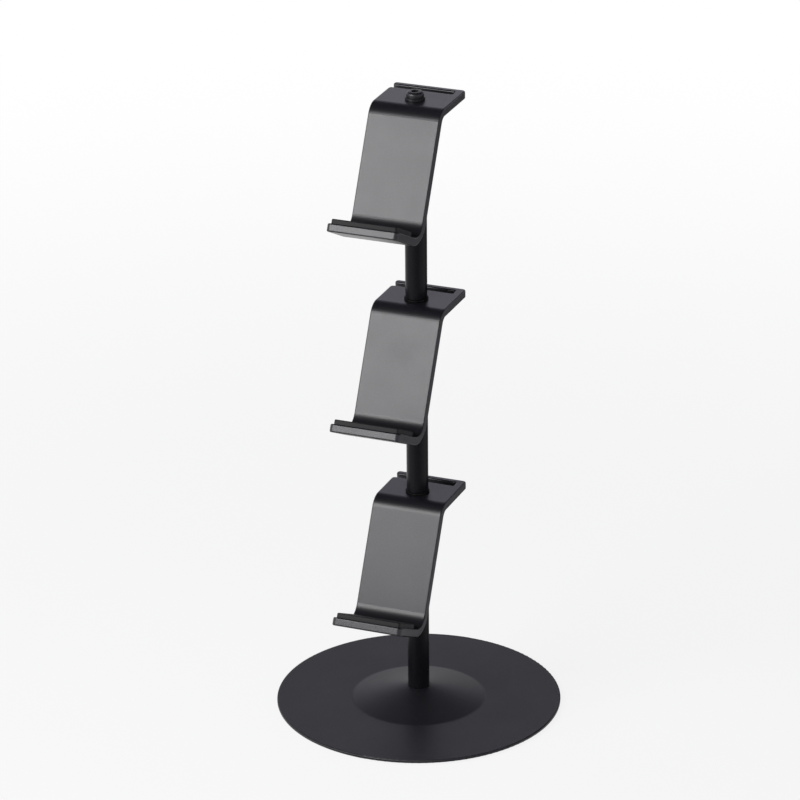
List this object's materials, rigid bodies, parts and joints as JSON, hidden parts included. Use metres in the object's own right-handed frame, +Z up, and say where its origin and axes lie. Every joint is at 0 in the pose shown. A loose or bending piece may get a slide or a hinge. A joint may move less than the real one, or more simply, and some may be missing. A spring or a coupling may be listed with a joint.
{
  "type": "game controller stand",
  "caption": "Upright stand with a round weighted base, a slim pole and tiered bent-plate cradles that each hold a game controller and hook its cable.",
  "frame": {"origin": "centre of the stand's underside, on the pole's axis at the floor", "axes": "+Z up along the pole, -Y to the side the trays face, +X to the right seen from the front"},
  "size_m": [0.1755, 0.1754, 0.3984],
  "materials": {
    "base_coat": "fine sand-textured black powder coat, semi-matt",
    "pole_coat": "fine sand-textured black powder coat, semi-matt",
    "bracket_coat": "fine sand-textured black powder coat, semi-matt",
    "pad_silicone": "matt moulded silicone",
    "mat_rubber": "finely pitted sheet rubber",
    "ring_rubber": "smooth black rubber",
    "black_screw": "black oxide",
    "zinc_steel": "bright zinc plating"
  },
  "bodies": {
    "root": {"base_plate": "base_coat", "base_mat": "mat_rubber", "base_washer": "zinc_steel", "base_screw": "zinc_steel", "pole_tube_lower": "pole_coat", "foot_insert_lower": "zinc_steel", "head_insert_lower": "zinc_steel", "bracket_lower": "bracket_coat", "tray_pad_lower": "pad_silicone", "pole_tube_middle": "pole_coat", "foot_insert_middle": "zinc_steel", "head_insert_middle": "zinc_steel", "bracket_middle": "bracket_coat", "tray_pad_middle": "pad_silicone", "pole_tube_upper": "pole_coat", "foot_insert_upper": "zinc_steel", "head_insert_upper": "zinc_steel", "bracket_upper": "bracket_coat", "tray_pad_upper": "pad_silicone", "joining_stud_lower": "zinc_steel", "seat_ring_lower": "ring_rubber", "joining_stud_middle": "zinc_steel", "seat_ring_middle": "ring_rubber", "top_washer": "black_screw", "top_screw": "black_screw"}
  },
  "joints": []
}
